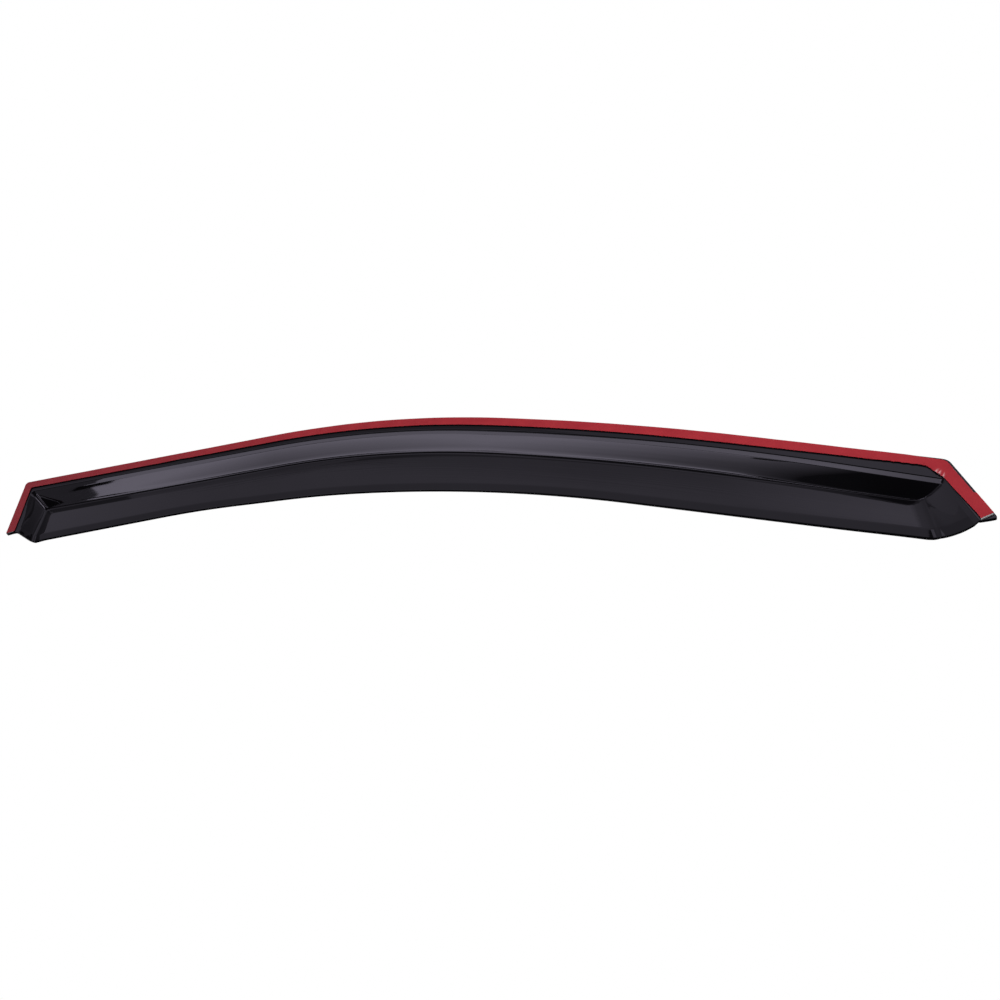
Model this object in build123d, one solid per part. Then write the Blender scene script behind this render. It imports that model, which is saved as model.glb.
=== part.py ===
from build123d import *
import math
import os

# Tape-on rain deflector for a front door window, in millimetres.
# X runs forward along the door, Y outward from the car, Z up. The taped side faces -Y.
# The origin lies on the outside of the liner, half way across the tape,
# where the two arcs of the top run meet.

# Tape and liner
tape_width = 10.0
tape_margin = 0.8
foam_thick = 1.0
liner_thick = 0.15
tape_inner_round = 6.0
rear_tape_gap = 1.0
front_tape_gap = 3.0

# Top edge of the flange, falling toward the front: rear straight, two arcs, front straight
rear_angle = 7.4
mid_angle = 23.4
front_angle = 29.5
rear_radius = 881.0
front_radius = 2360.0
rear_straight = 309.0
front_straight = 155.0

# Ends of the flange, each cut off level where it meets the lower edge
rear_flat = 38.0
front_flat = 21.8
front_lean = 14.5
rear_corner_round = 4.0
front_corner_round = 9.0
tip_round = 1.5

# Lower edge: rear straight, one arc, front straight
height = 74.4
lower_rear_angle = 5.8
lower_front_angle = 27.3
lower_radius = 1350.0
lower_blend = 70.0

# Section of the moulding
wall = 2.5
flange_top = 15.5
flange_rear = 11.5
flange_front = 11.7
land_run = 3.0
land_depth = 3.0
depth = 18.2
wall_run = 9.5
front_run = 12.3
land_front_angle = 31.4
front_foot_lean = 2.0
front_foot_drop = 15.0
lip_height = 7.2
lip_angle = 11.0

# Rounds of the section, measured on the inside of each bend
rear_bend_round = 4.0
front_bend_round = 2.5
foot_round = 2.0
lip_round = 10.0
flange_round = 1.0
flange_back_round = 1.5

# How far helper bodies run past the part
spare = 40.0


def up(angle):
    a = math.radians(angle)
    return Vector(math.sin(a), math.cos(a))


def along(angle):
    a = math.radians(angle)
    return Vector(math.cos(a), -math.sin(a))


def leg_down(lean):
    a = math.radians(lean)
    return Vector(math.sin(a), -math.cos(a))


def meet(p, d, q, e):
    k = ((q.X - p.X) * e.Y - (q.Y - p.Y) * e.X) / (d.X * e.Y - d.Y * e.X)
    return p + d * k


def line(p, q, y):
    return Edge.make_line((p.X, y, p.Y), (q.X, y, q.Y))


def arc(p, m, q, y):
    return Edge.make_three_point_arc((p.X, y, p.Y), (m.X, y, m.Y), (q.X, y, q.Y))


def rounded(p, into, out, radius):
    # start, middle and end of the round at corner p between two directions of travel
    half = math.acos(into.dot(out)) / 2
    side = (out - into).normalized()
    start = p - into * radius * math.tan(half)
    end = p + out * radius * math.tan(half)
    middle = p + side * (radius / math.cos(half) - radius)
    return start, middle, end


level = Vector(1, 0)
upright = Vector(0, 1)
junction = up(mid_angle) * (tape_margin + tape_width / 2)
rear_centre = junction - up(mid_angle) * rear_radius
front_centre = junction - up(mid_angle) * front_radius
rear_corner = rear_centre + up(rear_angle) * rear_radius - along(rear_angle) * rear_straight
front_corner = front_centre + up(front_angle) * front_radius + along(front_angle) * front_straight
front_mark = front_corner + leg_down(front_lean) * front_foot_drop
front_inward = leg_down(front_lean + 90) * -1

lower_mid_angle = (lower_rear_angle + lower_front_angle) / 2
lower_centre = rear_centre + up(lower_mid_angle) * (rear_radius - height - lower_radius)


def lower_run(rise):
    # the three points of the lower arc, raised by this much
    angles = (lower_rear_angle, lower_mid_angle, lower_front_angle)
    return [lower_centre + up(t) * (lower_radius + rise) for t in angles]


low_rear, low_mid, low_front = lower_run(0)
rear_turn = meet(low_rear, along(lower_rear_angle), rear_corner + level * rear_flat, upright)
front_side = front_corner - level * front_flat
front_turn = meet(low_front, along(lower_front_angle), front_side, leg_down(front_lean))
rear_tip = rear_turn - level * rear_flat
front_tip = front_turn + level * front_flat


def run(drop, rear, front, fall, lean, rear_round, front_round, rear_end, front_end, front_cut, y):
    # edges up the rear end, along the top and down the front end, this far inside the flange's edges;
    # fall is the angle of the straight toward the front
    a = rear_centre + up(rear_angle) * (rear_radius - drop)
    am = rear_centre + up((rear_angle + mid_angle) / 2) * (rear_radius - drop)
    j = rear_centre + up(mid_angle) * (rear_radius - drop)
    bm = front_centre + up((mid_angle + fall) / 2) * (front_radius - drop)
    b = front_centre + up(fall) * (front_radius - drop)
    mark = front_mark + front_inward * front
    down = leg_down(lean)
    rear_top = meet(a, along(rear_angle), rear_corner + level * rear, upright)
    front_top = meet(b, along(fall), mark, down)
    first = Vector(rear_top.X, rear_end)
    last = meet(mark, down, front_end, front_cut)
    r0, r1, r2 = rounded(rear_top, upright, along(rear_angle), rear_round)
    f0, f1, f2 = rounded(front_top, along(fall), down, front_round)
    edges = [
        line(first, r0, y),
        arc(r0, r1, r2, y),
        line(r2, a, y),
        arc(a, am, j, y),
        arc(j, bm, b, y),
        line(b, f0, y),
        arc(f0, f1, f2, y),
        line(f2, last, y),
    ]
    return edges, first, last


def contour(drop, rear, front, fall, lean, more_round, y):
    # a closed outline at depth y that runs well past the lower edge
    low = front_tip - upright * spare
    rear_round = rear_bend_round + more_round
    front_round = front_bend_round + more_round
    edges, first, last = run(drop, rear, front, fall, lean, rear_round, front_round,
                             rear_tip.Y - spare, low, level, y)
    return Face(Wire(edges + [line(last, first, y)]))


def below(rise, y):
    # everything below a line raised this much over the lower edge, at depth y
    a, m, b = lower_run(rise)
    rear = a - along(lower_rear_angle) * (rear_straight + spare)
    front = b + along(lower_front_angle) * ((front_tip - low_front).length + spare)
    low = Vector(rear.X, front.Y - 2 * spare)
    edges = [
        line(rear, a, y),
        arc(a, m, b, y),
        line(b, front, y),
        line(front, Vector(front.X, low.Y), y),
        line(Vector(front.X, low.Y), low, y),
        line(low, rear, y),
    ]
    return Face(Wire(edges))


def slab(y0, y1):
    return Pos(0, (y0 + y1) / 2, 0) * Box(4000, y1 - y0, 4000)


# Depths of the section, from the liner's outside
flange_face = liner_thick + foam_thick
flange_back = flange_face + wall
land_end = flange_face + land_depth
panel_face = flange_face + depth
panel_back = panel_face + wall
deep = panel_back + height * math.tan(math.radians(lip_angle)) + foot_round

# Slopes of the land and of the step wall, and how far wall thickness shifts them sideways
land_slope = land_run / land_depth
wall_slope = wall_run / (depth - land_depth)
front_slope = front_run / (depth - land_depth)
fall_slope = (front_angle - land_front_angle) / (depth - land_depth)
lean_slope = (front_foot_lean - front_lean) / (depth - land_depth)
land_shift = wall * math.hypot(1, land_slope)
wall_shift = wall * math.hypot(1, wall_slope)
land_back = land_end + (land_shift - wall_shift) / (land_slope - wall_slope)


def land_contour(y, shift, more_round):
    s = (y - flange_face) * land_slope - shift
    return contour(flange_top + s, flange_rear + s, flange_front + s, land_front_angle, front_lean, more_round, y)


def wall_contour(y, shift, more_round):
    s = land_run + (y - land_end) * wall_slope - shift
    f = land_run + (y - land_end) * front_slope - shift
    fall = land_front_angle + (y - land_end) * fall_slope
    lean = front_lean + (y - land_end) * lean_slope
    return contour(flange_top + s, flange_rear + s, flange_front + f, fall, lean, more_round, y)


def ruled(outline, y0, y1, shift, more_round):
    # a body with straight slanting sides between two depths
    return loft([outline(y0, shift, more_round), outline(y1, shift, more_round)], ruled=True)


def lip_wedge(face, rise):
    fall = (deep - face) / math.tan(math.radians(lip_angle))
    return loft([below(rise, face), below(rise - fall, deep)], ruled=True)


def tilt(face):
    return abs(face.normal_at(face.center()).Y)


def faces_at(edge, body):
    return [f for f in body.faces() if any(edge.is_same(e) for e in f.edges())]


def is_bend(edge, body):
    pair = faces_at(edge, body)
    return len(pair) == 2 and all(tilt(f) > 0.9 for f in pair)


def is_foot(edge, body):
    pair = faces_at(edge, body)
    if len(pair) != 2 or edge.center().Y < panel_face - 0.01:
        return False
    low, high = sorted(tilt(f) for f in pair)
    return 0.05 < low < 0.9 < high


# Cuts bodies off square a little below the lower edge
under = extrude(below(-foot_round - 2 * wall, 0), 3 * deep, dir=(0, 1, 0))


def floored(body, face, rise, blend, foot):
    # cuts the body off at the panel and the lip, then rounds the lip's bend and the foot of the walls
    body = body - (slab(face, 3 * deep) - lip_wedge(face, rise)) - under
    bend = [e for e in body.edges() if abs(e.center().Y - face) < 0.01 and is_bend(e, body)]
    body = body.fillet(blend, bend)
    feet = [e for e in body.edges() if is_foot(e, body)]
    return body.fillet(foot, feet)


# Silhouette of the moulding, extruded right through it
edge_run, first, last = run(0, 0, 0, front_angle, front_lean, rear_corner_round, front_corner_round,
                            rear_tip.Y, front_tip, level, 0)
edge_run += [
    line(last, front_turn, 0),
    line(front_turn, low_front, 0),
    arc(low_front, low_mid, low_rear, 0),
    line(low_rear, rear_turn, 0),
    line(rear_turn, first, 0),
]
silhouette = Face(Wire(edge_run))


def corner_at(p):
    return [v for v in silhouette.vertices() if (v.center() - Vector(p.X, 0, p.Y)).length < 0.01]


silhouette = silhouette.fillet_2d(tip_round, corner_at(first) + corner_at(last))
blend_room = 0.8 * front_flat / math.tan(math.radians(lower_front_angle / 2))
silhouette = silhouette.fillet_2d(min(lower_blend, blend_room), corner_at(front_turn))

# Hollow inside the moulding and the body round it
land_hollow = ruled(land_contour, flange_face - wall, land_end, 0, 0)
wall_hollow = ruled(wall_contour, land_end, deep, 0, 0)
wall_hollow = floored(wall_hollow, panel_face, lip_height, lip_round, foot_round)
hollow = land_hollow + wall_hollow

outer_rise = lip_height + wall * math.tan(math.radians(lip_angle / 2))
land_body = ruled(land_contour, flange_back, land_back, land_shift, wall)
wall_body = ruled(wall_contour, land_back, deep + wall, wall_shift, wall)
wall_body = floored(wall_body, panel_back, outer_rise, lip_round + wall, foot_round + wall)

flange = extrude(silhouette, wall, dir=(0, 1, 0)).moved(Location((0, flange_face, 0)))
trim = extrude(silhouette, 3 * deep, dir=(0, 1, 0))
visor_shell = (flange + land_body + wall_body) & trim


def flange_bend(body, y, radius):
    # rounds the bend at depth y between the flange and the slanted land
    edges = [e for e in body.edges() if abs(e.center().Y - y) < 0.01]
    bend = [e for e in edges if any(0.3 < tilt(f) < 0.95 for f in faces_at(e, body))]
    return body.fillet(radius, bend)


visor_shell = flange_bend(visor_shell, flange_back, flange_back_round) - hollow
visor_shell = flange_bend(visor_shell, flange_face, flange_round)

# Foam tape and liner, one strip bent round both corners of the flange
tape_end = front_tip - leg_down(front_lean) * front_tape_gap
inner = tape_margin + tape_width


def strip(y, thick):
    rear_end = rear_tip.Y + rear_tape_gap
    rear_round = rear_corner_round - tape_margin
    front_round = front_corner_round - tape_margin
    outside, p, q = run(tape_margin, tape_margin, tape_margin, front_angle, front_lean,
                        rear_round, front_round, rear_end, tape_end, front_inward, y)
    inside, s, t = run(inner, inner, inner, front_angle, front_lean,
                       tip_round, tape_inner_round, rear_end, tape_end, front_inward, y)
    face = Face(Wire(outside + inside + [line(p, s, y), line(q, t, y)]))
    return extrude(face, thick, dir=(0, 1, 0))


release_liner = strip(0, liner_thick)
foam_tape = strip(liner_thick, foam_thick)

os.makedirs("parts", exist_ok=True)
export_step(visor_shell, "parts/visor_shell.step")
export_step(foam_tape, "parts/foam_tape.step")
export_step(release_liner, "parts/release_liner.step")
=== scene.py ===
import math

import bpy
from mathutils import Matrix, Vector
from mathutils import noise


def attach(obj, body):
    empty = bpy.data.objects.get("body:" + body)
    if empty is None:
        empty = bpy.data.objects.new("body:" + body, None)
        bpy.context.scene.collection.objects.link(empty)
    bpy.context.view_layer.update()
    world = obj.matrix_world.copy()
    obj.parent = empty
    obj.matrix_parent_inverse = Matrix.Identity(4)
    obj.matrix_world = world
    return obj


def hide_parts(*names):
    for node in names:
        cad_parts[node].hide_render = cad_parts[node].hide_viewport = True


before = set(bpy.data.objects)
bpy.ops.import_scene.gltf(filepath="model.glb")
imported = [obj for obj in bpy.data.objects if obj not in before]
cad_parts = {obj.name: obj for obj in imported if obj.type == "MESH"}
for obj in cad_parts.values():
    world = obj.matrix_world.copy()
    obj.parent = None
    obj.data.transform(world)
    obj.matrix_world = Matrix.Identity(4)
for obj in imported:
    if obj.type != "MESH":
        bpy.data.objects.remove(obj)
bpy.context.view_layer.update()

print("frame loaded", sorted(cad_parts))

# outline of the visor seen from inside the car, x forward and z up, metres and degrees
outline = {
    "tapeWidth": 0.010, "tapeMargin": 0.0008,
    "rearAngle": 7.4, "midAngle": 23.4, "frontAngle": 29.5,
    "rearRadius": 0.881, "frontRadius": 2.360,
    "rearStraight": 0.309, "frontStraight": 0.155,
    "frontLean": 14.5, "rearFlat": 0.038, "frontFlat": 0.0218,
    "rearCornerRound": 0.004, "frontCornerRound": 0.009, "tipRound": 0.0015,
    "height": 0.0744, "lowerRearAngle": 5.8, "lowerFrontAngle": 27.3,
    "lowerRadius": 1.350, "lowerBlend": 0.011,
    "edgeSpare": 0.0005, "spareEnd": 0.320, "spareFade": 0.05,
    "sag": 0.0012, "sagAt": -0.250, "sagWidth": 0.050,
    "landFrontAngle": 31.4,
}


def upward(angle):
    a = math.radians(angle)
    return Vector((math.sin(a), math.cos(a)))


def forward(angle):
    a = math.radians(angle)
    return Vector((math.cos(a), -math.sin(a)))


def legDown(lean):
    a = math.radians(lean)
    return Vector((math.sin(a), -math.cos(a)))


def crossing(p, d, q, e):
    k = ((q.x - p.x) * e.y - (q.y - p.y) * e.x) / (d.x * e.y - d.y * e.x)
    return p + d * k


level = Vector((1, 0))
junction = upward(outline["midAngle"]) * (outline["tapeMargin"] + outline["tapeWidth"] / 2)
rearCentre = junction - upward(outline["midAngle"]) * outline["rearRadius"]
frontCentre = junction - upward(outline["midAngle"]) * outline["frontRadius"]
rearArcEnd = rearCentre + upward(outline["rearAngle"]) * outline["rearRadius"]
frontArcEnd = frontCentre + upward(outline["frontAngle"]) * outline["frontRadius"]
rearCorner = rearArcEnd - forward(outline["rearAngle"]) * outline["rearStraight"]
frontCorner = frontArcEnd + forward(outline["frontAngle"]) * outline["frontStraight"]
frontLeg = legDown(outline["frontLean"])
frontInward = -legDown(outline["frontLean"] + 90)

lowerMid = (outline["lowerRearAngle"] + outline["lowerFrontAngle"]) / 2
lowerOffset = outline["rearRadius"] - outline["height"] - outline["lowerRadius"]
lowerCentre = rearCentre + upward(lowerMid) * lowerOffset
lowRear = lowerCentre + upward(outline["lowerRearAngle"]) * outline["lowerRadius"]
lowFront = lowerCentre + upward(outline["lowerFrontAngle"]) * outline["lowerRadius"]
rearTurn = crossing(lowRear, forward(outline["lowerRearAngle"]),
                    rearCorner + level * outline["rearFlat"], Vector((0, 1)))
frontTurn = crossing(lowFront, forward(outline["lowerFrontAngle"]),
                     frontCorner - level * outline["frontFlat"], frontLeg)
rearTip = rearTurn - level * outline["rearFlat"]
frontTip = frontTurn + level * outline["frontFlat"]


def reach(p, centre, first, last):
    # distance from an arc's centre, with straight runs past the arc's two ends
    arm = p - centre
    angle = min(max(math.degrees(math.atan2(arm.x, arm.y)), first), last)
    return arm.dot(upward(angle))


def topDrop(p, frontAngle=outline["frontAngle"]):
    arm = p - rearCentre
    if math.degrees(math.atan2(arm.x, arm.y)) < outline["midAngle"]:
        return outline["rearRadius"] - reach(p, rearCentre, outline["rearAngle"], outline["midAngle"])
    return outline["frontRadius"] - reach(p, frontCentre, outline["midAngle"], frontAngle)


def landDrop(p):
    # the land falls a little more towards the front than the top edge does
    return topDrop(p, outline["landFrontAngle"])


def smoothStep(t):
    t = min(max(t, 0.0), 1.0)
    return t * t * (3 - 2 * t)


def hump(s, middle, width):
    off = (s - middle) / width
    return math.exp(-off * off)


def softMin(a, b, k):
    h = max(k - abs(a - b), 0.0) / k
    return min(a, b) - h * h * k / 4


def lowerRise(p):
    # height above the lower edge, which hangs a little in one place
    rise = reach(p, lowerCentre, outline["lowerRearAngle"], outline["lowerFrontAngle"])
    rise -= outline["lowerRadius"]
    rise += outline["sag"] * hump(p.x, outline["sagAt"], outline["sagWidth"])
    fade = outline["spareFade"]
    rise += outline["edgeSpare"] * (1 - smoothStep((p.x - outline["spareEnd"] + fade) / fade))
    if p.x < rearTurn.x:
        return max(rise, p.y - rearTip.y)
    if p.x > lowFront.x:
        return softMin(rise, p.y - frontTip.y, outline["lowerBlend"])
    return rise


def clearSelection():
    if bpy.context.object and bpy.context.object.mode != "OBJECT":
        bpy.ops.object.mode_set(mode="OBJECT")
    bpy.ops.object.select_all(action="DESELECT")


def applyModifiers(obj):
    clearSelection()
    obj.select_set(True)
    bpy.context.view_layer.objects.active = obj
    for mod in list(obj.modifiers):
        bpy.ops.object.modifier_apply(modifier=mod.name)


def shapedGrid(name, columns, rows, place):
    # a plain grid whose points are moved one by one; place(column, row) gives a point
    # and its spot in the piece's own map, and row 0 is the top one
    clearSelection()
    bpy.ops.mesh.primitive_grid_add(x_subdivisions=columns, y_subdivisions=rows, size=2)
    obj = bpy.context.object
    obj.name = name
    obj.data.name = name
    uv = {}
    for v in obj.data.vertices:
        i = round((v.co.x + 1) / 2 * columns)
        j = round((1 - v.co.y) / 2 * rows)
        spot, uvSpot = place(i, j)
        uv[v.index] = uvSpot
        v.co = spot
    layer = obj.data.uv_layers[0] if obj.data.uv_layers else obj.data.uv_layers.new(name="run")
    layer.name = "run"
    for loop in obj.data.loops:
        layer.data[loop.index].uv = uv[loop.vertex_index]
    return obj


# the moulding; bends are half widths, and a span is where a change starts and how long it takes
visor = {
    "face": 0.00115, "wall": 0.0025,
    "flangeTop": 0.0155, "flangeRear": 0.0115, "flangeFront": 0.0117,
    "landRun": 0.0030, "landDepth": 0.0030, "wallRun": 0.0095, "depth": 0.0182,
    "frontRun": 0.0123, "frontFootLean": 2.0, "rearFootLean": -4.5, "footDrop": 0.015,
    "wallEase": 0.0030, "easeShare": 0.2, "frontEase": 0.25, "easeSpan": (0.18, 0.12),
    "lipHeight": 0.0072, "lipAngle": 11.0, "flareStart": 0.4,
    "flangeBend": 0.0005, "landBend": 0.0002, "footBend": 0.0019, "lipBend": 0.0010,
    "rearFlangeBend": 0.0030, "rearFootBend": 0.0030, "frontFootBend": 0.0070,
    "foreFootBend": 0.0009, "foreSpan": (0.20, 0.06),
    "rearRound": 0.004, "rearBlend": 0.006, "rearBlendDrop": 0.030, "endReach": 0.12,
    "rimRound": 0.0005, "rimSteps": 2, "rimAngle": 60, "smoothAngle": 40, "columnPitch": 0.0045,
    "rimRows": 4, "flangeRows": 5, "bendSteps": 3, "wallRows": 6, "footRows": 3, "frontRows": 5,
    "panelRows": 7, "lipRows": 4,
}
landEnd = visor["flangeTop"] + visor["landRun"]
foot = landEnd + visor["wallRun"]


def spaced(first, last, count):
    # evenly from first, stopping one step short of last
    return [first + (last - first) * k / count for k in range(count)]


def around(middle, half):
    n = visor["bendSteps"]
    return [middle + half * k / n for k in range(-n, n + 1)]


# distances in from the flange's edge where the section needs a row of points, in the top's own sizes
rimEnd = visor["rimRows"] * visor["rimRound"]
bendRows = spaced(0.0, rimEnd, visor["rimRows"])
bendRows += spaced(rimEnd, visor["flangeTop"] - 2 * visor["flangeBend"], visor["flangeRows"])
bendRows += [visor["flangeTop"] - 1.6 * visor["flangeBend"]]
bendRows += around(visor["flangeTop"], visor["flangeBend"])
bendRows += [visor["flangeTop"] + visor["landRun"] / 2]
bendRows += around(landEnd, visor["landBend"])
bendRows += spaced(landEnd + visor["landBend"], foot - visor["footBend"], visor["wallRows"])[1:]
bendRows += around(foot, visor["footBend"])
bendRows += spaced(foot + visor["footBend"], foot + visor["wallRun"] / 2, visor["footRows"])[1:]
frontRowsEnd = bendRows[-1] + visor["wallRun"] * 1.5
frontRows = bendRows + spaced(bendRows[-1], frontRowsEnd, visor["frontRows"])[1:]
lipRows = around(visor["lipHeight"], visor["lipBend"])[::-1]
lipRows += spaced(visor["lipHeight"] - visor["lipBend"], rimEnd, visor["lipRows"])[1:]
lipRows += [k * visor["rimRound"] for k in (4, 2, 1, 0)]
panelRows = visor["panelRows"]


def passed(s, span):
    start, length = span
    return smoothStep((s - start) / length)


def ramp(t, w):
    # nothing up to 0 and then t, with a round of half width w between
    if t <= -w:
        return 0.0
    if t >= w:
        return t
    return (t + w) ** 2 / (4 * w)


landGrade = visor["landDepth"] / visor["landRun"]
wallRise = visor["depth"] - visor["landDepth"] - landGrade * visor["wallRun"]
lipGrade = math.tan(math.radians(visor["lipAngle"]))


def section(d, flangeBend, footBend, easeShare):
    # depth of the inside face, this far in from the edge; the wall steepens gently below the land
    wallGrade = landGrade + wallRise / (visor["wallRun"] - easeShare * visor["wallEase"])
    sharp = ramp(d - landEnd, visor["landBend"])
    gentle = ramp(d - landEnd - visor["wallEase"], visor["wallEase"])
    return (landGrade * ramp(d - visor["flangeTop"], flangeBend)
            + (wallGrade - landGrade) * (sharp + (gentle - sharp) * easeShare)
            - wallGrade * ramp(d - foot, footBend))


def roundMin(a, b, r):
    if abs(a - b) >= r:
        return min(a, b)
    return (a + b - 2 * r + math.sqrt(2 * r * r - (a - b) ** 2)) / 2


def wallShare(e):
    return max(e - landEnd, 0.0) / visor["wallRun"]


def sidePlace(e, flange, run):
    # how far in from an end of the flange, for a distance in given in the top's sizes
    if e < visor["flangeTop"]:
        return e * flange / visor["flangeTop"]
    return flange + min(e - visor["flangeTop"], visor["landRun"]) + wallShare(e) * run


def sideLean(e, edgeLean, footLean):
    return edgeLean + (footLean - edgeLean) * min(wallShare(e), 1.0)


frontMark = frontCorner + frontLeg * visor["footDrop"]
rearMark = rearCorner - Vector((0, visor["footDrop"]))


def frontLine(e):
    place = frontMark + frontInward * sidePlace(e, visor["flangeFront"], visor["frontRun"])
    return place, sideLean(e, outline["frontLean"], visor["frontFootLean"])


def rearLine(e):
    place = rearMark + level * sidePlace(e, visor["flangeRear"], visor["wallRun"])
    return place, sideLean(e, 0.0, visor["rearFootLean"])


# searches by halving: how far they look and how often they halve
search = {
    "side": (-0.002, 0.080), "sideSteps": 26, "down": (0.0, 0.16), "downSteps": 34,
    "back": 0.12, "stretch": 1.5,
}


def sideSize(p, sideLine, turn):
    # an end's distance in, as the top's; turn is 1 at the front and -1 at the rear
    low, high = search["side"]
    for _ in range(search["sideSteps"]):
        mid = (low + high) / 2
        q, lean = sideLine(mid)
        down = legDown(lean)
        if ((p - q).x * -down.y + (p - q).y * down.x) * turn < 0:
            low = mid
        else:
            high = mid
    return (low + high) / 2


def topSize(p):
    # how far in from the top, in the section's own sizes; the wall gets lower where the land falls
    d = landDrop(p)
    if d > landEnd:
        d = landEnd + (d - landEnd) * visor["wallRun"] / (visor["wallRun"] - topDrop(p) + d)
    return d


def insideDepth(p):
    # how far the inside face lies outward of the flange's face
    wellInside = 1.0  # for an end that is too far away to matter
    top = topSize(p)
    rear = sideSize(p, rearLine, -1) if p.x < rearCorner.x + visor["endReach"] else wellInside
    front = sideSize(p, frontLine, 1) if p.x > frontCorner.x - visor["endReach"] else wellInside
    d = roundMin(top, rear, visor["rearRound"])
    # the rear wall has softer bends, and the step wall's foot gets sharper towards the front
    toRear = smoothStep((top - rear) / visor["rearBlend"])
    toRear *= smoothStep((top - foot) / visor["rearBlendDrop"])
    footBend, flangeBend = visor["footBend"], visor["flangeBend"]
    footBend += (visor["foreFootBend"] - footBend) * passed(p.x, visor["foreSpan"])
    footBend += (visor["rearFootBend"] - footBend) * toRear
    flangeBend += (visor["rearFlangeBend"] - flangeBend) * toRear
    easeShare = visor["easeShare"] + visor["frontEase"] * passed(p.x, visor["easeSpan"])
    # the front wall has a wide bend of its own
    frontDeep = section(front, visor["flangeBend"], visor["frontFootBend"], visor["easeShare"])
    deep = min(section(d, flangeBend, footBend, easeShare), frontDeep)
    flare = ramp(visor["lipHeight"] - lowerRise(p), visor["lipBend"]) * lipGrade
    return deep + flare * smoothStep(deep / visor["depth"] / visor["flareStart"])


def solveDown(start, direction, wanted, measure):
    low, high = search["down"]
    falling = measure(start) > measure(start + direction * high)
    for _ in range(search["downSteps"]):
        mid = (low + high) / 2
        here = measure(start + direction * mid)
        past = here < wanted if falling else here > wanted
        if past:
            high = mid
        else:
            low = mid
    return (low + high) / 2


def solveRow(start, direction, d):
    # rows go over from the top edge's run to the land's, and back again down the wall
    k = min(d / (visor["flangeTop"] - visor["flangeBend"]), 1.0) * (1 - min(wallShare(d), 1.0))
    return solveDown(start, direction, d, lambda p: topDrop(p) + (landDrop(p) - topDrop(p)) * k)


def dropPoint(p, direction, drop):
    # the point of this row on a line through p
    q = p - direction * search["back"]
    line = direction * search["stretch"]
    return q + line * solveRow(q, line, drop)


def visorColumns():
    # each column is a point, its distance in and the leans of the line that runs up and down from it
    columns = []
    for e in bendRows:
        q, lean = rearLine(e)
        columns.append((dropPoint(q, legDown(lean), e), e, 0.0, lean))
    front = []
    for e in frontRows:
        q, lean = frontLine(e)
        front.append((dropPoint(q, legDown(lean), e), e, outline["frontLean"], lean))
    first, last = columns[-1], front[-1]
    gap = last[0].x - first[0].x
    steps = round(gap / visor["columnPitch"])
    for k in range(1, steps):
        t = k / steps
        p = first[0].lerp(last[0], t)
        drop, *leans = [a + (b - a) * t for a, b in zip(first[1:], last[1:])]
        columns.append((dropPoint(p, Vector((0, -1)), drop), drop, *leans))
    return columns + front[::-1]


def edgeRounded(p):
    # pulls points at the flange's corners and tips onto their rounds
    for corner, along1, along2, r in (
            (rearCorner, forward(outline["rearAngle"]), Vector((0, -1)), outline["rearCornerRound"]),
            (frontCorner, -forward(outline["frontAngle"]), frontLeg, outline["frontCornerRound"]),
            (rearTip, Vector((0, 1)), level, outline["tipRound"]),
            (frontTip, -frontLeg, -level, outline["tipRound"])):
        half = (math.pi - along1.angle(along2)) / 2
        t = r * math.tan(half)
        a = p - corner
        cross = along1.x * along2.y - along1.y * along2.x
        u = (a.x * along2.y - a.y * along2.x) / cross
        v = (along1.x * a.y - along1.y * a.x) / cross
        if u < t and v < t:
            m, n = (t - u) / t, (t - v) / t
            size = math.hypot(m, n)
            if size > 1e-9:
                k = max(m, n) / size
                u, v = t - m * k * t, t - n * k * t
                p = corner + along1 * u + along2 * v
    return p


def buildVisor():
    columns = visorColumns()
    rows = len(bendRows) + panelRows + len(lipRows)
    spots = []
    for p, drop, upLean, downLean in columns:
        up, down = -legDown(upLean), legDown(downLean)
        upper = []
        for d in bendRows:
            line = down if d > drop else up
            upper.append(p + line * solveRow(p, line, d))
        lower = [p + down * solveDown(p, down, r, lowerRise) for r in lipRows]
        middle = [upper[-1].lerp(lower[0], (k + 1) / (panelRows + 1)) for k in range(panelRows)]
        spots.append(upper + middle + lower)
    runLength = [0.0]
    for a, b in zip(columns, columns[1:]):
        runLength.append(runLength[-1] + (b[0] - a[0]).length)

    def place(i, j):
        p = edgeRounded(spots[i][j])
        y = visor["face"] + insideDepth(p)
        return (p.x, y, p.y), (runLength[i], topDrop(p))

    obj = shapedGrid("visorShell", len(columns) - 1, rows - 1, place)
    thick = obj.modifiers.new("thick", "SOLIDIFY")
    thick.thickness = visor["wall"]
    thick.offset = -1
    thick.use_even_offset = True
    thick.use_quality_normals = True
    applyModifiers(obj)
    points = obj.data.vertices
    for i in range(len(columns)):
        outside = points[i + len(points) // 2]
        outside.co.x, outside.co.z = points[i].co.x, points[i].co.z  # the lower edge is cut square
    rim = obj.modifiers.new("rim", "BEVEL")
    rim.width = visor["rimRound"]
    rim.segments = visor["rimSteps"]
    rim.limit_method = "ANGLE"
    rim.angle_limit = math.radians(visor["rimAngle"])
    applyModifiers(obj)
    bpy.ops.object.shade_smooth_by_angle(angle=math.radians(visor["smoothAngle"]))
    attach(obj, "root")
    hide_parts("visor_shell")
    print("visor shell", len(obj.data.polygons), "faces")
    return obj


visorShell = buildVisor()

# foam tape and its liner run along the flange as one strip, bent round both corners
strip = {
    "outerEdge": outline["tapeMargin"], "innerEdge": outline["tapeMargin"] + outline["tapeWidth"],
    "rearOuterRound": 0.0032, "frontOuterRound": 0.0082, "rearInnerRound": 0.0015, "frontInnerRound": 0.036,
    "rearGap": 0.0004, "frontGap": 0.0036, "wanderSlice": 0.37,
    "steps": (24, 8, 80, 60, 60, 110, 90, 90), "beforeCorner": 1.8, "pastCorner": 1.4,
    "acrossSteps": 18, "smoothAngle": 50,
}


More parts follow.
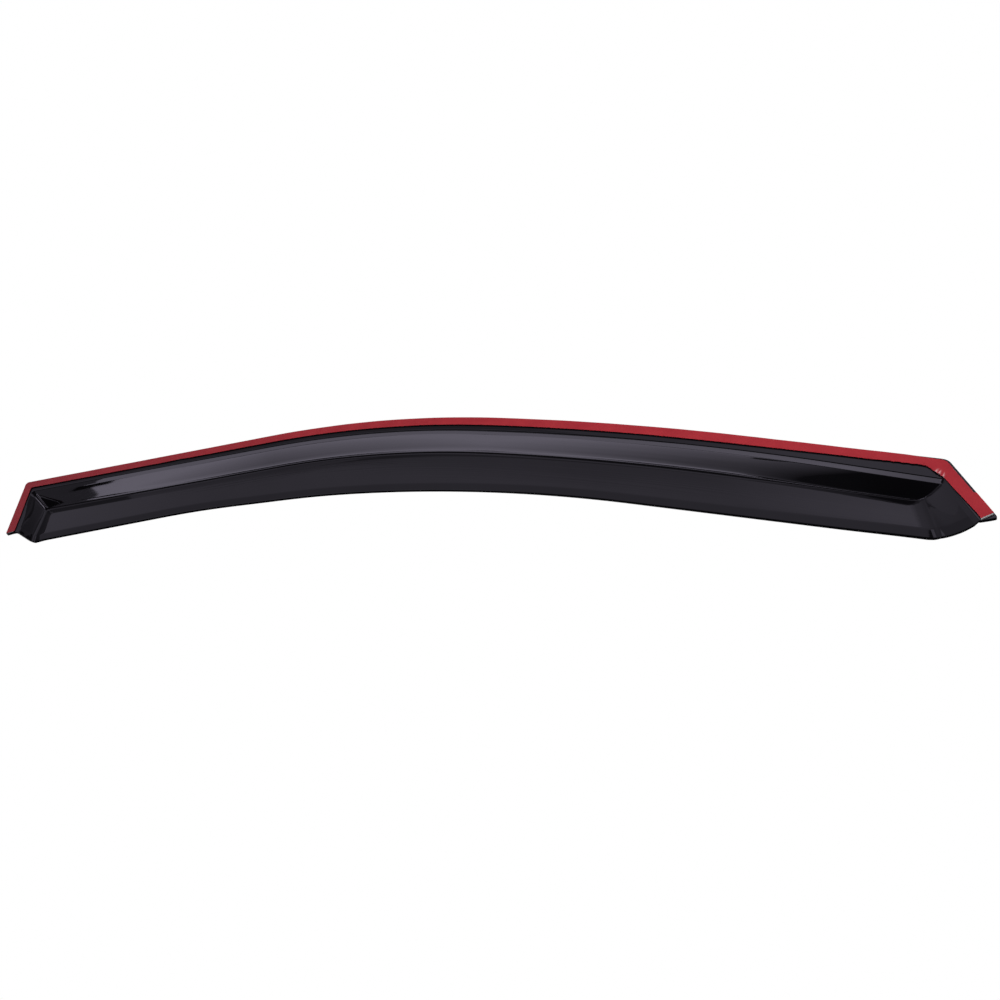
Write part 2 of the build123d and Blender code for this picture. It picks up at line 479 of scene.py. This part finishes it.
def roundPoint(p, into, out, radius, t):
    # a point on the round at corner p, for a run that turns right
    half = into.angle(out) / 2
    start = p - into * radius * math.tan(half)
    centre = start + Vector((into.y, -into.x)) * radius
    a = -2 * half * t
    c, s = math.cos(a), math.sin(a)
    arm = start - centre
    return centre + Vector((arm.x * c - arm.y * s, arm.x * s + arm.y * c))


def runPoint(inset, rearRound, frontRound, rearEnd, frontEnd, piece, t):
    # a point of the run up the rear end, along the top and down the front end,
    # this far inside the flange's edge
    rearAngle, midAngle, frontAngle = outline["rearAngle"], outline["midAngle"], outline["frontAngle"]
    ups = Vector((0, 1))
    rearDir, frontDir = forward(rearAngle), forward(frontAngle)
    rearStart = rearArcEnd - upward(rearAngle) * inset
    frontStart = frontArcEnd - upward(frontAngle) * inset
    rearTop = crossing(rearStart, rearDir, rearCorner + level * inset, ups)
    frontTop = crossing(frontStart, frontDir, frontCorner + frontInward * inset, frontLeg)
    bottom = Vector((rearTop.x, rearTip.y + rearEnd))
    endPoint = crossing(frontTop, frontLeg, frontTip - frontLeg * frontEnd, frontInward)

    def rearTurned(k):
        return roundPoint(rearTop, ups, rearDir, rearRound, k)

    def frontTurned(k):
        return roundPoint(frontTop, frontDir, frontLeg, frontRound, k)

    if piece == 0:
        return bottom.lerp(rearTurned(0), t)
    if piece == 1:
        return rearTurned(t)
    if piece == 2:
        return rearTurned(1).lerp(rearStart, t)
    if piece == 3:
        return rearCentre + upward(rearAngle + (midAngle - rearAngle) * t) * (outline["rearRadius"] - inset)
    if piece == 4:
        return frontCentre + upward(midAngle + (frontAngle - midAngle) * t) * (outline["frontRadius"] - inset)
    if piece == 5:
        return frontStart.lerp(frontTurned(0), t)
    if piece == 6:
        return frontTurned(t)
    return frontTurned(1).lerp(endPoint, t)


def stripStations():
    stations = []
    for piece, count in enumerate(strip["steps"]):
        for k in range(count):
            t = k / count
            # closer together towards the front corner
            if piece == 5:
                t = 1 - (1 - t) ** strip["beforeCorner"]
            if piece == 7:
                t = t ** strip["pastCorner"]
            stations.append((piece, t))
    stations.append((len(strip["steps"]) - 1, 1.0))
    return stations


def buildStrip(name, outerInset, innerInset, rearEnd, frontEnd, edgeWave, lift, low, thick):
    # edgeWave(piece, t, side) moves an edge inward, lift(piece, t, w) raises the face towards the room
    stations = stripStations()
    lines = []
    length = 0.0
    for piece, t in stations:
        outerIn = outerInset + edgeWave(piece, t, 0)
        innerIn = innerInset + edgeWave(piece, t, 1)
        where = (rearEnd, frontEnd, piece, t)
        outer = runPoint(outerIn, strip["rearOuterRound"], strip["frontOuterRound"], *where)
        inner = runPoint(innerIn, strip["rearInnerRound"], strip["frontInnerRound"], *where)
        if lines:
            length += (outer.lerp(inner, 0.5) - lines[-1][0].lerp(lines[-1][1], 0.5)).length
        lines.append((outer, inner, length))
    across = strip["acrossSteps"]

    def place(i, j):
        outer, inner, run = lines[i]
        w = j / across
        p = outer.lerp(inner, w)
        piece, t = stations[i]
        return (p.x, low - lift(piece, t, w), p.y), (run, w * outline["tapeWidth"])

    obj = shapedGrid(name, len(stations) - 1, across, place)
    solid = obj.modifiers.new("solid", "SOLIDIFY")
    solid.thickness = thick
    solid.offset = -1
    applyModifiers(obj)
    bpy.ops.object.shade_smooth_by_angle(angle=math.radians(strip["smoothAngle"]))
    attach(obj, "root")
    return obj


def wander(x, side, seed, scale):
    return noise.noise(Vector((x * scale, seed + side, strip["wanderSlice"])))


# places along the strip: 2 to 5 is the top, 6 the front corner and 7 to 8 the front leg
liner = {
    "thick": 0.00015, "endGap": 0.0010, "edgeWander": 0.00015, "wanderSeed": 3.1, "wanderScale": 9.0,
    "narrow": 0.0005, "frontNarrow": 0.0008, "frontSpan": (4.8, 0.8),
    "rearWide": 0.0007, "rearSpan": (0.3, 0.7), "frontWide": 0.0012, "legSpan": (6.15, 0.4),
    "endNarrow": 0.0015, "endSpan": (6.9, 1.0),
    "bare": 0.0011, "bareSpan": (5.80, 0.25), "proud": 0.0005, "notchSpan": (7.60, 0.02),
    "scallop": 0.0005, "scallopTurns": 60, "scallopSpan": (5.70, 0.15), "scallopEnd": (6.3, 0.3),
    "nick": 0.0007, "nickAt": 2.637, "nickLength": 0.02,
    "folds": ((6.55, 0.0008), (6.66, 0.0009), (6.82, 0.0008)), "foldWidth": 0.030, "foldReach": 0.38,
    # painted highlight: at this lift a fold's colour is fully paled
    "foldHighlightHeight": 0.0007,
}


def bareRim(s):
    # near the front corner the tape lies further in, as far as a notch on the leg
    notch = passed(s, liner["notchSpan"])
    return passed(s, liner["bareSpan"]) * (1 - notch), notch


def linerEdge(piece, t, side):
    s = piece + t
    shift = wander(s, side, liner["wanderSeed"], liner["wanderScale"]) * liner["edgeWander"]
    if side == 0:
        bare, notch = bareRim(s)
        return shift + liner["bare"] * bare - liner["proud"] * notch
    onLeg = passed(s, liner["legSpan"])
    shift -= liner["narrow"] + liner["frontNarrow"] * passed(s, liner["frontSpan"]) * (1 - onLeg)
    shift += liner["rearWide"] * (1 - passed(s, liner["rearSpan"])) + liner["frontWide"] * onLeg
    shift -= liner["endNarrow"] * passed(s, liner["endSpan"])
    nearCorner = passed(s, liner["scallopSpan"]) * (1 - passed(s, liner["scallopEnd"]))
    shift -= abs(math.sin(s * liner["scallopTurns"])) * liner["scallop"] * nearCorner
    return shift - liner["nick"] * hump(s, liner["nickAt"], liner["nickLength"])


def linerLift(piece, t, w):
    # the film stands up in small folds along the inside of the front corner
    fromEdge = smoothStep((w - 1 + liner["foldReach"]) / liner["foldReach"])
    up = 0.0
    for place, high in liner["folds"]:
        up += high * hump(piece + t, place, liner["foldWidth"]) * fromEdge
    return up


foam = {
    "low": 0.00015, "high": 0.00115, "outerIn": 0.0002, "innerIn": 0.0003, "rearIn": 0.0002,
    "edgeWander": 0.0001, "wanderSeed": 7.7, "wanderScale": 11.0,
    "bareShare": 0.8, "back": 0.0018, "cornerBack": 0.0012, "endSpan": (7.90, 0.1),
}


def foamEdge(piece, t, side):
    # set back under the liner's inner edge, most of all at the front corner, but not at the cut end
    s = piece + t
    shift = wander(s, side, foam["wanderSeed"], foam["wanderScale"]) * foam["edgeWander"]
    if side == 0:
        return shift + liner["bare"] * foam["bareShare"] * bareRim(s)[0]
    back = foam["back"] + foam["cornerBack"] * passed(s, liner["frontSpan"])
    return shift - back * (1 - passed(s, foam["endSpan"]))


releaseLiner = buildStrip("releaseLiner", strip["outerEdge"], strip["innerEdge"], strip["rearGap"],
                          strip["frontGap"] + liner["endGap"], linerEdge, linerLift, 0.0, liner["thick"])
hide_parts("release_liner")
# painted highlight: how far the film stands up in its folds, kept per point to pale its colour there
foldHighlightLayer = releaseLiner.data.attributes.new("paintedFoldHighlight", "FLOAT", "POINT")
for v in releaseLiner.data.vertices:
    foldHighlightLayer.data[v.index].value = min(max(-v.co.y / liner["foldHighlightHeight"], 0.0), 1.0)
foamTape = buildStrip("foamTape", strip["outerEdge"] + foam["outerIn"], strip["innerEdge"] - foam["innerIn"],
                      strip["rearGap"] + foam["rearIn"], strip["frontGap"], foamEdge,
                      lambda piece, t, w: 0.0, foam["low"], foam["high"] - foam["low"])
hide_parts("foam_tape")
print("tape", len(releaseLiner.data.polygons), len(foamTape.data.polygons), "faces")


# finishes
def mottleGroup():
    # slow uneven patches, between two values
    group = bpy.data.node_groups.new("mottle", "ShaderNodeTree")
    group.interface.new_socket("Vector", in_out="INPUT", socket_type="NodeSocketVector")
    for name, value in (("Scale", 20.0), ("Detail", 3.0), ("Low", 0.0), ("High", 1.0)):
        socket = group.interface.new_socket(name, in_out="INPUT", socket_type="NodeSocketFloat")
        socket.default_value = value
    group.interface.new_socket("Value", in_out="OUTPUT", socket_type="NodeSocketFloat")
    nodes, links = group.nodes, group.links
    source = nodes.new("NodeGroupInput")
    out = nodes.new("NodeGroupOutput")
    cloud = nodes.new("ShaderNodeTexNoise")
    spread = nodes.new("ShaderNodeMapRange")
    # most of the noise lies between these two
    spread.inputs["From Min"].default_value = 0.3
    spread.inputs["From Max"].default_value = 0.7
    for name in ("Vector", "Scale", "Detail"):
        links.new(source.outputs[name], cloud.inputs[name])
    links.new(cloud.outputs["Fac"], spread.inputs["Value"])
    links.new(source.outputs["Low"], spread.inputs["To Min"])
    links.new(source.outputs["High"], spread.inputs["To Max"])
    links.new(spread.outputs["Result"], out.inputs["Value"])
    return group


mottle = mottleGroup()


def startMaterial(name):
    mat = bpy.data.materials.new(name)
    mat.use_nodes = True
    return mat, mat.node_tree.nodes, mat.node_tree.links, mat.node_tree.nodes["Principled BSDF"]


def addMottle(nodes, links, vector, scale, detail, low, high):
    node = nodes.new("ShaderNodeGroup")
    node.node_tree = mottle
    links.new(vector, node.inputs["Vector"])
    for name, value in (("Scale", scale), ("Detail", detail), ("Low", low), ("High", high)):
        node.inputs[name].default_value = value
    return node.outputs["Value"]


def addTint(nodes, links, mask, dark, light):
    mix = nodes.new("ShaderNodeMix")
    mix.data_type = "RGBA"
    mix.inputs["A"].default_value = (*dark, 1)
    mix.inputs["B"].default_value = (*light, 1)
    links.new(mask, mix.inputs["Factor"])
    return mix.outputs["Result"]


def addBump(nodes, links, height, distance, strength):
    bump = nodes.new("ShaderNodeBump")
    bump.inputs["Distance"].default_value = distance
    bump.inputs["Strength"].default_value = strength
    links.new(height, bump.inputs["Height"])
    return bump.outputs["Normal"]


def runCoordinates(nodes, links, stretch):
    # the piece's own map: along the run and across it, in metres
    uv = nodes.new("ShaderNodeUVMap")
    uv.uv_map = "run"
    mapping = nodes.new("ShaderNodeMapping")
    mapping.inputs["Scale"].default_value = stretch
    links.new(uv.outputs["UV"], mapping.inputs["Vector"])
    return mapping.outputs["Vector"]


def setMaterial(obj, mat):
    obj.data.materials.clear()
    obj.data.materials.append(mat)


# each mottle is its scale, its detail and the two values it runs between; a bump is its height and strength
shellLook = {
    "dark": (0.0028, 0.0026, 0.0034), "light": (0.0045, 0.0042, 0.0054), "tone": (14.0, 3.0, 0.0, 1.0),
    "rough": (30.0, 4.0, 0.020, 0.050), "relief": (1.0, 2.0, 0.0, 1.0), "bump": (0.00002, 0.25),
    "stretch": (4.0, 420.0, 1.0), "ior": 1.38,
}
linerLook = {
    "dark": (0.300, 0.018, 0.026), "light": (0.350, 0.024, 0.032), "tone": (60.0, 4.0, 0.0, 1.0),
    "rough": (220.0, 3.0, 0.34, 0.46), "relief": (1400.0, 2.0, 0.0, 1.0), "bump": (0.00003, 0.25),
    # painted highlight: the paler red laid on the film's folds
    "foldHighlight": (0.66, 0.30, 0.32), "specular": 0.11,
}
foamLook = {
    "dark": (0.22, 0.22, 0.23), "light": (0.36, 0.36, 0.37), "tone": (900.0, 4.0, 0.0, 1.0),
    "rough": (500.0, 2.0, 0.80, 0.95), "relief": (2600.0, 2.0, 0.0, 1.0), "bump": (0.00008, 0.5),
}


def startFinish(name, look):
    # mottled colour, roughness and fine relief
    mat, nodes, links, shader = startMaterial(name)
    coords = nodes.new("ShaderNodeTexCoord").outputs["Object"]
    tone = addMottle(nodes, links, coords, *look["tone"])
    colour = addTint(nodes, links, tone, look["dark"], look["light"])
    links.new(colour, shader.inputs["Base Color"])
    links.new(addMottle(nodes, links, coords, *look["rough"]), shader.inputs["Roughness"])
    if "stretch" in look:
        coords = runCoordinates(nodes, links, look["stretch"])
    relief = addMottle(nodes, links, coords, *look["relief"])
    links.new(addBump(nodes, links, relief, *look["bump"]), shader.inputs["Normal"])
    return mat, nodes, links, shader, colour


def shellFinish():
    mat, _, _, shader, _ = startFinish("smokeAcrylic", shellLook)
    shader.inputs["IOR"].default_value = shellLook["ior"]
    return mat


def linerFinish():
    mat, nodes, links, shader, colour = startFinish("redLinerFilm", linerLook)
    foldHighlight = nodes.new("ShaderNodeAttribute")
    foldHighlight.attribute_name = "paintedFoldHighlight"
    highlightPaint = nodes.new("ShaderNodeMix")  # painted highlight: the film's colour goes pale on its folds, standing in for their highlights
    highlightPaint.data_type = "RGBA"
    highlightPaint.inputs["B"].default_value = (*linerLook["foldHighlight"], 1)
    links.new(colour, highlightPaint.inputs["A"])
    links.new(foldHighlight.outputs["Fac"], highlightPaint.inputs["Factor"])
    links.new(highlightPaint.outputs["Result"], shader.inputs["Base Color"])
    shader.inputs["Specular IOR Level"].default_value = linerLook["specular"]
    return mat


setMaterial(visorShell, shellFinish())
setMaterial(releaseLiner, linerFinish())
setMaterial(foamTape, startFinish("greyFoam", foamLook)[0])
dressed = {"visor_shell": visorShell, "foam_tape": foamTape, "release_liner": releaseLiner}
for nodeName, piece in dressed.items():
    setMaterial(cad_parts[nodeName], piece.data.materials[0])
print("finishes set")

# camera and light
view = {
    "place": (0.2561, -0.6795, -0.8337), "azimuth": 19.9, "elevation": -45.2,
    "focal": 1200, "frameWidth": 1000, "sensor": 36.0, "clipEnd": 50,
}


def addCamera():
    clearSelection()
    bpy.ops.object.camera_add(location=view["place"])
    cam = bpy.context.object
    cam.name = "photoCamera"
    cam.rotation_euler = (math.radians(90 - view["elevation"]), 0, math.radians(view["azimuth"]))
    cam.data.sensor_width = view["sensor"]
    cam.data.lens = view["sensor"] * view["focal"] / view["frameWidth"]
    cam.data.clip_end = view["clipEnd"]
    bpy.context.scene.camera = cam


addCamera()
bpy.context.scene.view_settings.view_transform = "Standard"

studio = {
    "floorHeight": -1.45, "floorSize": 9.0, "floorColour": (0.80, 0.80, 0.80), "floorRough": 0.9,
    "fill": 0.25, "backdrop": 1.0,
}
# each lamp's place, what it points at, size, energy and colour
lamps = {
    "keyFront": ((0.15, -0.8, -0.3), (0.0, 0.0, 0.0), 0.5, 6.7, (1.0, 0.99, 0.98)),
    "overhead": ((0.0, 2.4, 2.5), (0.0, 0.0, studio["floorHeight"]), 3.0, 150.0, (1.0, 1.0, 1.0)),
}


def glow(name, colour, strength):
    mat = bpy.data.materials.new(name)
    mat.use_nodes = True
    nodes = mat.node_tree.nodes
    nodes.clear()
    lamp = nodes.new("ShaderNodeEmission")
    lamp.inputs["Color"].default_value = (*colour, 1)
    lamp.inputs["Strength"].default_value = strength
    out = nodes.new("ShaderNodeOutputMaterial")
    mat.node_tree.links.new(lamp.outputs["Emission"], out.inputs["Surface"])
    return mat


def gradedGlow(kind):
    # the levels of all its grades, multiplied
    mat = glow(kind + "Glow", cards["tint"], 1.0)
    nodes, links = mat.node_tree.nodes, mat.node_tree.links
    place = nodes.new("ShaderNodeTexCoord").outputs["Object"]
    total = None
    for direction, start, end, low, high in grades[kind]:
        along = nodes.new("ShaderNodeVectorMath")
        along.operation = "DOT_PRODUCT"
        along.inputs[1].default_value = direction
        links.new(place, along.inputs[0])
        spread = nodes.new("ShaderNodeMapRange")
        for socket, value in (("From Min", start), ("From Max", end), ("To Min", low), ("To Max", high)):
            spread.inputs[socket].default_value = value
        links.new(along.outputs["Value"], spread.inputs["Value"])
        if total:
            times = nodes.new("ShaderNodeMath")
            times.operation = "MULTIPLY"
            links.new(total, times.inputs[0])
            links.new(spread.outputs["Result"], times.inputs[1])
            total = times.outputs["Value"]
        else:
            total = spread.outputs["Result"]
    links.new(total, nodes["Emission"].inputs["Strength"])
    return mat


def addCard(name, corners, mat):
    # a card that only the gloss of the moulding sees
    clearSelection()
    bpy.ops.mesh.primitive_plane_add(size=1)
    card = bpy.context.object
    card.name = name
    for v, spot in zip(card.data.vertices, corners):
        v.co = spot
    card.data.materials.append(mat)
    card.visible_camera = False
    card.visible_diffuse = False
    card.visible_transmission = False
    card.visible_shadow = False


def flatCard(name, x0, x1, y0, y1, z, mat):
    addCard(name, ((x0, y0, z), (x1, y0, z), (x0, y1, z), (x1, y1, z)), mat)


# what the gloss sees round the moulding, in metres and as brightness against white
cards = {
    "tint": (0.96, 0.89, 1.12),
    # the level cards below it: heights, then two ends in x and two in y, or corners
    "flagHeight": -1.30, "dimHeight": -1.25, "softHeight": -1.20, "barHeight": -1.19,
    "flagSpan": (-6.0, 6.0, -6.0, 6.0),
    "dimSpan": (-6.0, -1.60, -2.6, 0.4), "dimLevel": 0.40,
    "rearSpan": (1.3, 2.4, -2.58, -1.5), "rearLevel": 5.0,
    "softbox": ((-1.649, -0.25), (-0.60, -0.25), (-2.56, -2.06), (-0.45, -1.52)),
    "softLevel": 3.9, "softFade": 0.30,
    # each bar's two ends in x, its far edge at either end, and its near edge
    "bars": ((-1.66, -0.30, -1.43, -1.02, -0.92), (-1.21, -0.30, -1.00, -1.00, -0.54),
             (-1.93, -1.79, -1.02, -1.00, -0.67)),
    # the upright cards before it, from below: each edge is a height and how fast it falls to the right
    "frontDistance": 2.6, "flagLow": (-9.0, 0.30), "frontLow": (0.65, 0.30), "frontHigh": (2.889, 0.19),
    "frontTop": (9.0, 0.30), "aboveLevel": 0.22,
    # small cards a little nearer than those: two ends in x, lower and upper edge, level
    "patchNearer": 0.02,
    "patches": ((-2.27, -1.20, (0.20, 0.30), (0.76, 0.30), 1.2),
                (1.50, 2.70, (-1.25, 0.0), (0.66, 0.30), 5.0),
                (-4.50, -2.60, (3.75, 0.0), (5.40, 0.0), 0.47),
                (-4.50, -2.27, (0.0, 0.0), (0.66, 0.30), 0.42)),
    # the cards at either side
    "sideLow": -1.3, "sideBack": 2.0,
    "leftDistance": 4.5, "leftEdge": 0.0, "leftTop": 7.0, "leftLevel": 0.60, "leftFade": 0.65,
    "rightDistance": 3.0, "rightTop": 5.0, "rightLevel": 0.28,
}
# how brightness changes over a card: a direction, two distances along it and the level at each
grades = {
    "floor": (((1, 2, 0), -2.84, -2.12, cards["softLevel"], cards["softLevel"] * cards["softFade"]),
              ((1, 2, 0), -2.12, -1.45, 1.0, 0.0),
              ((0, 1, 0), -1.60, -0.90, 0.75, 1.0),
              ((1, 0, 0), -1.25, -0.95, 1.0, 0.65)),
    "front": (((0.3, 0, 1), 0.8, 2.3, 0.88, 1.0),
              ((1, 0, 0), -2.3, -0.1, 0.46, 0.70),
              ((1, 0, 0), -3.2, -2.4, 1.18, 1.0),
              ((0.45, 0, 1), 2.40, 2.52, 1.0, 0.72),
              ((1, 0, 0.5), 1.20, 1.62, 1.0, 1.7)),
    "left": (((0, 0, 1), 0.8, 2.2, cards["leftLevel"] * cards["leftFade"], cards["leftLevel"]),),
}


def evenGlow(name, brightness):
    return glow(name, cards["tint"], brightness)


def slopedCard(name, x0, x1, low, high, mat, nearer=0.0):
    y = nearer - cards["frontDistance"]
    addCard(name, [(x, y, edge[0] - edge[1] * x) for edge in (low, high) for x in (x0, x1)], mat)


def frontCard(name, low, high, mat):
    slopedCard(name, -cards["leftDistance"], cards["rightDistance"], low, high, mat)


def sideCard(name, x, low, high, mat):
    addCard(name, [(x, y, z) for z in (low, high) for y in (-cards["frontDistance"], cards["sideBack"])], mat)


def addFloor():
    clearSelection()
    bpy.ops.mesh.primitive_plane_add(size=studio["floorSize"], location=(0, 0, studio["floorHeight"]))
    floor = bpy.context.object
    floor.name = "floor"
    mat, _, _, shader = startMaterial("paleFloor")
    shader.inputs["Base Color"].default_value = (*studio["floorColour"], 1)
    shader.inputs["Roughness"].default_value = studio["floorRough"]
    floor.data.materials.append(mat)
    floor.visible_glossy = False
    floor.visible_diffuse = False


def addWorld():
    # white where it is seen, and a weaker fill for the light it gives
    world = bpy.data.worlds.new("studio")
    bpy.context.scene.world = world
    world.use_nodes = True
    nodes, links = world.node_tree.nodes, world.node_tree.links
    fill = nodes["Background"]
    fill.inputs["Color"].default_value = (1, 1, 1, 1)
    fill.inputs["Strength"].default_value = studio["fill"]
    white = nodes.new("ShaderNodeBackground")
    white.inputs["Color"].default_value = (1, 1, 1, 1)
    white.inputs["Strength"].default_value = studio["backdrop"]
    path = nodes.new("ShaderNodeLightPath")
    seen = path.outputs["Is Camera Ray"]
    for ray in ("Is Glossy Ray", "Is Transmission Ray"):
        either = nodes.new("ShaderNodeMath")
        either.operation = "MAXIMUM"
        links.new(seen, either.inputs[0])
        links.new(path.outputs[ray], either.inputs[1])
        seen = either.outputs[0]
    mix = nodes.new("ShaderNodeMixShader")
    links.new(seen, mix.inputs["Fac"])
    links.new(fill.outputs["Background"], mix.inputs[1])
    links.new(white.outputs["Background"], mix.inputs[2])
    links.new(mix.outputs["Shader"], nodes["World Output"].inputs["Surface"])


def addLamp(name, place, target, size, energy, colour):
    clearSelection()
    bpy.ops.object.light_add(type="AREA", location=place)
    lamp = bpy.context.object
    lamp.name = name
    lamp.data.size = size
    lamp.data.energy = energy
    lamp.data.color = colour
    lamp.rotation_euler = (Vector(target) - Vector(place)).to_track_quat("-Z", "Y").to_euler()
    lamp.visible_glossy = False


addFloor()
addWorld()
black = glow("flagBlack", (0.0, 0.0, 0.0), 0.0)
flatCard("flagBelow", *cards["flagSpan"], cards["flagHeight"], black)
flatCard("dimBelow", *cards["dimSpan"], cards["dimHeight"], evenGlow("dimGlow", cards["dimLevel"]))
flatCard("rearBelow", *cards["rearSpan"], cards["barHeight"], evenGlow("rearGlow", cards["rearLevel"]))
addCard("softbox", [(x, y, cards["softHeight"]) for x, y in cards["softbox"]], gradedGlow("floor"))
for number, (x0, x1, far0, far1, near) in enumerate(cards["bars"]):
    ends = ((x0, far0), (x1, far1), (x0, near), (x1, near))
    addCard("flagBar%d" % number, [(x, y, cards["barHeight"]) for x, y in ends], black)
frontCard("flagFront", cards["flagLow"], cards["frontLow"], black)
frontCard("cardFront", cards["frontLow"], cards["frontHigh"], gradedGlow("front"))
frontCard("cardAbove", cards["frontHigh"], cards["frontTop"], evenGlow("aboveGlow", cards["aboveLevel"]))
for number, (x0, x1, low, high, patchLevel) in enumerate(cards["patches"]):
    patchGlow = evenGlow("patchGlow%d" % number, patchLevel)
    slopedCard("patch%d" % number, x0, x1, low, high, patchGlow, cards["patchNearer"])
sideCard("flagLeft", -cards["leftDistance"], cards["sideLow"], cards["leftEdge"], black)
sideCard("cardLeft", -cards["leftDistance"], cards["leftEdge"], cards["leftTop"], gradedGlow("left"))
sideCard("cardRight", cards["rightDistance"], cards["sideLow"], cards["rightTop"],
         evenGlow("rightGlow", cards["rightLevel"]))
for lampName, setting in lamps.items():
    addLamp(lampName, *setting)
print("studio set")
